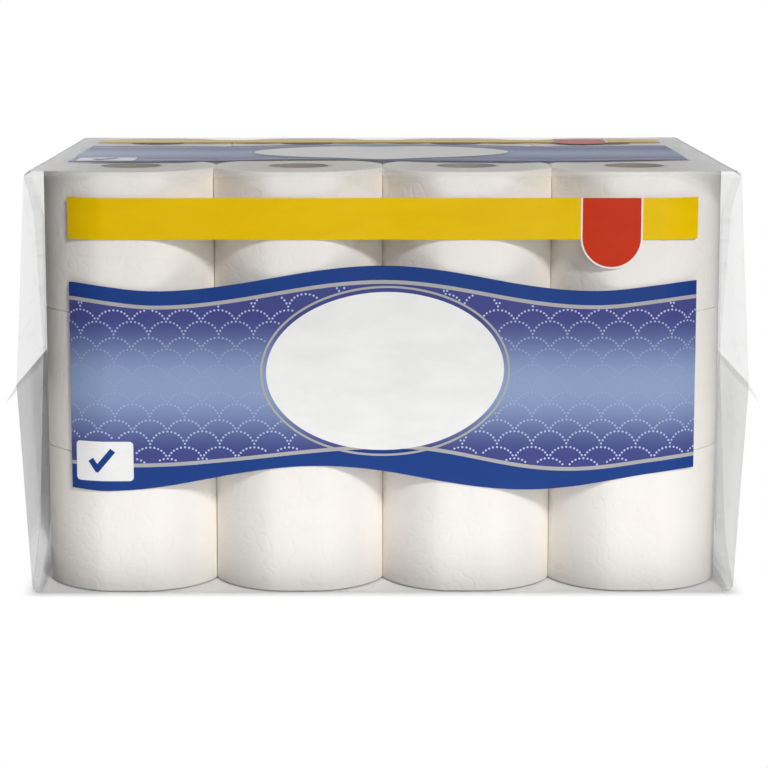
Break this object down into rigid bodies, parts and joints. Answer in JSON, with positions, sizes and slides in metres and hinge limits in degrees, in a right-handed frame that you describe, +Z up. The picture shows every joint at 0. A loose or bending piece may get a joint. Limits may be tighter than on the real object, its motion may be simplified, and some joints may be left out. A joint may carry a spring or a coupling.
{
  "type": "toilet_paper_roll_pack",
  "caption": "Large pack of toilet paper rolls standing upright side by side in layers, wrapped in one printed clear film with tucked, sealed ends",
  "frame": {"origin": "on the floor, below the middle of the pack", "axes": "+X along the long side to the right as seen from the front, +Y from the front to the back, +Z up along the rolls' cores"},
  "size_m": [0.5178, 0.351, 0.2904],
  "materials": {
    "printed_film": "clear glossy film, printed in blue, yellow, red and white",
    "tissue": "soft matt tissue",
    "core_board": "plain grey-brown board"
  },
  "bodies": {
    "root": {"film_wrap": "printed_film", "roll_c1_r1_l1": "tissue", "roll_c1_r1_l2": "tissue", "roll_c1_r1_l3": "tissue", "cores_c1_r1": "core_board", "roll_c1_r2_l1": "tissue", "roll_c1_r2_l2": "tissue", "roll_c1_r2_l3": "tissue", "cores_c1_r2": "core_board", "roll_c1_r3_l1": "tissue", "roll_c1_r3_l2": "tissue", "roll_c1_r3_l3": "tissue", "cores_c1_r3": "core_board", "roll_c2_r1_l1": "tissue", "roll_c2_r1_l2": "tissue", "roll_c2_r1_l3": "tissue", "cores_c2_r1": "core_board", "roll_c2_r2_l1": "tissue", "roll_c2_r2_l2": "tissue", "roll_c2_r2_l3": "tissue", "cores_c2_r2": "core_board", "roll_c2_r3_l1": "tissue", "roll_c2_r3_l2": "tissue", "roll_c2_r3_l3": "tissue", "cores_c2_r3": "core_board", "roll_c3_r1_l1": "tissue", "roll_c3_r1_l2": "tissue", "roll_c3_r1_l3": "tissue", "cores_c3_r1": "core_board", "roll_c3_r2_l1": "tissue", "roll_c3_r2_l2": "tissue", "roll_c3_r2_l3": "tissue", "cores_c3_r2": "core_board", "roll_c3_r3_l1": "tissue", "roll_c3_r3_l2": "tissue", "roll_c3_r3_l3": "tissue", "cores_c3_r3": "core_board", "roll_c4_r1_l1": "tissue", "roll_c4_r1_l2": "tissue", "roll_c4_r1_l3": "tissue", "cores_c4_r1": "core_board", "roll_c4_r2_l1": "tissue", "roll_c4_r2_l2": "tissue", "roll_c4_r2_l3": "tissue", "cores_c4_r2": "core_board", "roll_c4_r3_l1": "tissue", "roll_c4_r3_l2": "tissue", "roll_c4_r3_l3": "tissue", "cores_c4_r3": "core_board"}
  },
  "joints": []
}
